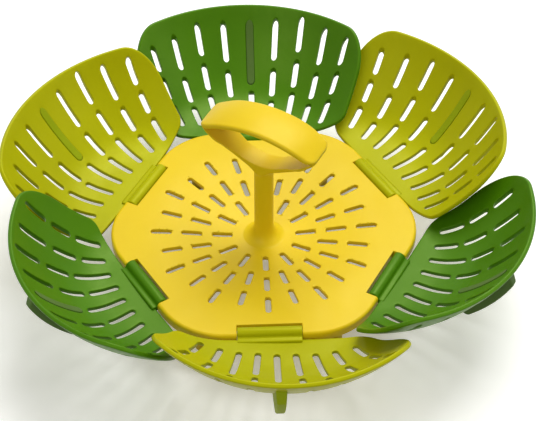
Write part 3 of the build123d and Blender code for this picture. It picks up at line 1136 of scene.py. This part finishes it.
@dataclass
class Plate(EasedSolid):
    """The plate: its dish runs out into the flat without a crease, and its slots have soft edges."""

    node: str = "base_plate"
    body: str = "base"
    finish: Finish = Finish.YELLOW
    edge: float = 0.35 * MM
    top: float = 24.0 * MM
    wall: float = 2.4 * MM
    dish_depth: float = 4.8 * MM
    dish_radius: float = 46.7 * MM
    blend: float = 14.0 * MM
    seat_radius: float = 13.31 * MM
    seat_height: float = 18.7 * MM
    seat_play: float = 0.2 * MM
    seat_clear: float = 1.2
    wall_play: float = 1.1

    def refined(self, point: Vector) -> bool:
        """Tells whether a point is on the plate's slotted wall."""
        reach = hypot(point.x, point.y)
        inside = self.seat_radius < reach < self.dish_radius + self.blend
        return inside and point.z > self._dish(reach) - self.wall_play * self.wall

    def rounded(self, point: Vector) -> bool:
        """Tells whether a point is clear of the seat under the stem's foot."""
        return hypot(point.x, point.y) > self.seat_clear * self.seat_radius

    @property
    def curve(self) -> float:
        """The radius of the sphere that the dish is a part of."""
        return (self.dish_radius**2 + self.dish_depth**2) / (2 * self.dish_depth)

    def _dish(self, reach: float) -> float:
        """The height of the plate's face, which is flat outside the dish."""
        within = min(reach, self.dish_radius)
        return self.top - self.dish_depth + self.curve - sqrt(self.curve**2 - within**2)

    def eased(self, point: Vector) -> Vector:
        """Lowers the crease round the dish into a long soft bend, and fills the seat up to the dish."""
        reach = hypot(point.x, point.y)
        if reach < self.seat_radius and abs(point.z - self.seat_height) < self.seat_play:
            return Vector((point.x, point.y, self._dish(reach)))
        spare = self.blend - abs(reach - self.dish_radius)
        if spare < 0 or not self.refined(point):
            return point
        slope = self.dish_radius / sqrt(self.curve**2 - self.dish_radius**2)
        return point - Vector((0, 0, slope * spare**2 / (4 * self.blend)))


@dataclass
class Handle(EasedSolid):
    """The handle: thin square-cornered tips, soft edges round its eye, and a foot that runs out into the plate."""

    node: str = "handle"
    body: str = "base"
    finish: Finish = Finish.YELLOW
    edge: float = 0.45 * MM
    turn: float = radians(-30.0)
    stem_radius: float = 4.7 * MM
    flare_end: float = 13.2 * MM
    flare_top: float = 28.2 * MM
    slim: float = 0.76
    sink: float = 0.27 * MM
    arms_from: float = 45.0 * MM
    tip_top: float = 87.4 * MM
    half_length: float = 32.8 * MM
    half_width: float = 10.6 * MM
    corner: float = 7.4 * MM
    squareness: float = 4.0
    pull_from: float = 13.0 * MM
    pull: float = 2.4 * MM
    narrow: float = 0.17
    thin_from: float = 22.0 * MM
    thin: float = 0.55
    waist_drop: float = 13.4 * MM
    waist: float = 0.2
    waist_run: float = 3.0

    def refined(self, point: Vector) -> bool:
        """The solid's mesh is already fine."""
        return False

    def rounded(self, point: Vector) -> bool:
        """Tells whether a point is on the band or the arms."""
        return point.z > self.arms_from

    def eased(self, point: Vector) -> Vector:
        """Shapes the tips of the band, and runs the foot's rim out just below the plate's surface."""
        if point.z > self.arms_from:
            return self._tip(point)
        reach = hypot(point.x, point.y)
        if point.z > self.flare_top or reach < self.stem_radius:
            return point
        share = (reach - self.stem_radius) / (self.flare_end - self.stem_radius)
        scale = (self.stem_radius + (reach - self.stem_radius) * self.slim) / reach
        return Vector((point.x * scale, point.y * scale, point.z - share * share * self.sink))

    def _tip(self, point: Vector) -> Vector:
        """Where a point of the band or the arms goes.

        Args:
            point: The point.

        Returns:
            Its new place: the plan's corners squarer, the tips pulled in, and their undersides raised.
        """
        turned = Matrix.Rotation(-self.turn, 4, "Z") @ point
        along, across = abs(turned.x), abs(turned.y)
        out = (along - self.half_length + self.corner, across - self.half_width + self.corner)
        if min(out) > 0:
            high = self.squareness
            circle = hypot(*out)
            square = circle * (((out[0] / circle) ** high + (out[1] / circle) ** high) ** (-1 / high) - 1)
            grow = 1 + square * ramp(circle, 0.0, self.corner) / circle
            along += out[0] * (grow - 1)
            across += out[1] * (grow - 1)
        share = ramp(along, self.pull_from, self.half_length)
        lean = ramp(along, self.thin_from, self.half_length)
        under = max(0.0, self.tip_top - point.z)
        across *= 1 - self.narrow * share * share
        if along > self.pull_from:
            across *= 1 - self.waist * sin(pi * ramp(under, 0.0, self.waist_drop)) * min(1.0, self.waist_run * share)
        shaped = Vector(
            (
                (along - self.pull * share * share) * (1 if turned.x > 0 else -1),
                across * (1 if turned.y > 0 else -1),
                point.z + under * self.thin * lean * lean,
            )
        )
        return Matrix.Rotation(self.turn, 4, "Z") @ shaped


@dataclass
class SolidPiece:
    """A node whose solid already has the right shape, and only needs its finish."""

    node: str
    finish: Finish

    def build(self, wardrobe: Wardrobe, nodes: dict[str, bpy.types.Object]) -> bpy.types.Object:
        """Dresses the node.

        Args:
            wardrobe: Where its material comes from.
            nodes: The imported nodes.

        Returns:
            The node's object.
        """
        piece = nodes[self.node]
        wardrobe.dress(piece, self.finish)
        log.info("%s: the packed solid, dressed", self.node)
        return piece


@dataclass(frozen=True)
class Softbox:
    """A square soft lamp: its place and side in metres, and its power in watts."""

    name: str
    place: Colour
    side: float
    power: float


@dataclass
class Studio:
    """A white floor, soft lights and the camera at the photograph's place."""

    look: Vector = field(default_factory=lambda: Vector((0.0, 0.0, 24.0)) * MM)
    camera: Vector = field(default_factory=lambda: Vector((-25.5, -667.4, 683.5)) * MM)
    bearing: float = radians(-2.36)
    elevation: float = radians(45.15)
    focal_pixels: float = 1931.7
    photo_width: float = 536.0
    sensor: float = 36.0
    sight: float = 24.0
    floor_half: float = 6.0
    floor_gap: float = 0.05 * MM
    floor_bounce: float = 0.45
    floor_white: float = 1.0
    floor_lift: float = 0.27
    # Tint of the floor's glow for the camera: a painted warm bounce of the basket's yellow and green in the floor's
    # shadow, while the lit floor stays white.
    floor_painted_bounce: Colour = (1.0, 0.97, 0.82)
    sky: float = 0.25
    backdrop: float = 1.0
    lamps: tuple[Softbox, ...] = (
        Softbox("key_softbox", (0.30, 0.60, 1.35), 1.0, 19.0),
        Softbox("front_softbox", (-0.75, -1.05, 1.10), 1.1, 6.5),
        Softbox("side_softbox", (1.25, -0.35, 0.75), 0.8, 3.0),
    )

    def place_camera(self) -> None:
        """Makes the camera and looks through it."""
        data = bpy.data.cameras.new("camera")
        data.sensor_fit = "HORIZONTAL"
        data.sensor_width = self.sensor
        data.lens = self.focal_pixels / self.photo_width * self.sensor
        data.clip_end = self.sight
        camera = bpy.data.objects.new("camera", data)
        bpy.context.scene.collection.objects.link(camera)
        camera.location = self.look + self.camera
        camera.rotation_euler = (pi / 2 - self.elevation, 0.0, self.bearing)
        bpy.context.scene.camera = camera

    def lay_floor(self) -> None:
        """Makes the floor, which keeps the object's shadow and is white elsewhere. Its glow for the camera is tinted
        warm, which paints a warm bounce of the basket's colour into that shadow.
        """
        turns = ((-1, -1), (1, -1), (1, 1), (-1, 1))
        corners = [Vector((x * self.floor_half, y * self.floor_half, -self.floor_gap)) for x, y in turns]
        floor = object_from("floor", corners, [(0, 1, 2, 3)])
        graph = Graph.material("white_floor")
        bounce, white = (
            graph.node("ShaderNodeBsdfDiffuse", {}, {"Color": (shade, shade, shade)})
            for shade in (self.floor_bounce, self.floor_white)
        )
        # The glow's warm tint is painted bounce light that warms the shadow under and round the basket.
        lift = graph.node("ShaderNodeEmission", {}, {"Color": self.floor_painted_bounce, "Strength": self.floor_lift})
        bright = graph.node("ShaderNodeAddShader", {}, {0: white, 1: lift})
        mixed = graph.node("ShaderNodeMixShader", {}, {0: graph.seen(), 1: bounce, 2: bright})
        floor.data.materials.append(graph.surface(mixed))

    def light(self) -> None:
        """Makes the lamps and the white world."""
        for softbox in self.lamps:
            data = bpy.data.lights.new(softbox.name, "AREA")
            data.size = softbox.side
            data.energy = softbox.power
            lamp = bpy.data.objects.new(softbox.name, data)
            bpy.context.scene.collection.objects.link(lamp)
            lamp.location = softbox.place
            lamp.rotation_euler = (self.look - Vector(softbox.place)).to_track_quat("-Z", "Y").to_euler()
        graph = Graph(bpy.data.worlds.new("studio"))
        sky, backdrop = (
            graph.node("ShaderNodeBackground", {}, {"Color": (1.0, 1.0, 1.0), "Strength": strength})
            for strength in (self.sky, self.backdrop)
        )
        mixed = graph.node("ShaderNodeMixShader", {}, {0: graph.seen(), 1: sky, 2: backdrop})
        bpy.context.scene.world = graph.surface(mixed)

    def build(self) -> None:
        """Sets the view and makes the whole studio."""
        bpy.context.scene.view_settings.view_transform = "Standard"
        self.place_camera()
        self.lay_floor()
        self.light()


@dataclass
class SteamerBasket:
    """The whole basket: the plate with its handle and pins, and six petals with their feet."""

    nodes: dict[str, bpy.types.Object]
    wardrobe: Wardrobe = field(default_factory=Wardrobe)
    places: tuple[str, ...] = ("back_right", "back", "back_left", "front_left", "front", "front_right")
    first_turn: float = radians(30.0)
    finishes: tuple[tuple[Finish, Finish], ...] = ((Finish.LIME, Finish.OLIVE), (Finish.GREEN, Finish.GREY_GREEN))

    def build(self) -> None:
        """Builds and dresses every piece."""
        for piece in (Plate(), Handle(), SolidPiece("handle_screw", Finish.STEEL)):
            piece.build(self.wardrobe, self.nodes)
        shapes = {"petal": Petal().build(), "foot": Foot().build()}
        for index, place in enumerate(self.places):
            turn = self.first_turn + index * 2 * pi / len(self.places)
            for (kind, shape), finish in zip(shapes.items(), self.finishes[index % 2]):
                piece = MouldedPiece(f"moulded_{kind}_{place}", f"{kind}_{place}", f"leaf_{place}", turn, finish)
                piece.build(self.wardrobe, shape)
            SolidPiece(f"hinge_pin_{place}", Finish.STEEL).build(self.wardrobe, self.nodes)


def main() -> None:
    """Builds the basket and the studio."""
    logging.basicConfig(level=logging.INFO, format="%(message)s")
    SteamerBasket(frame["nodes"]).build()
    Studio().build()


if __name__ == "__main__":
    main()
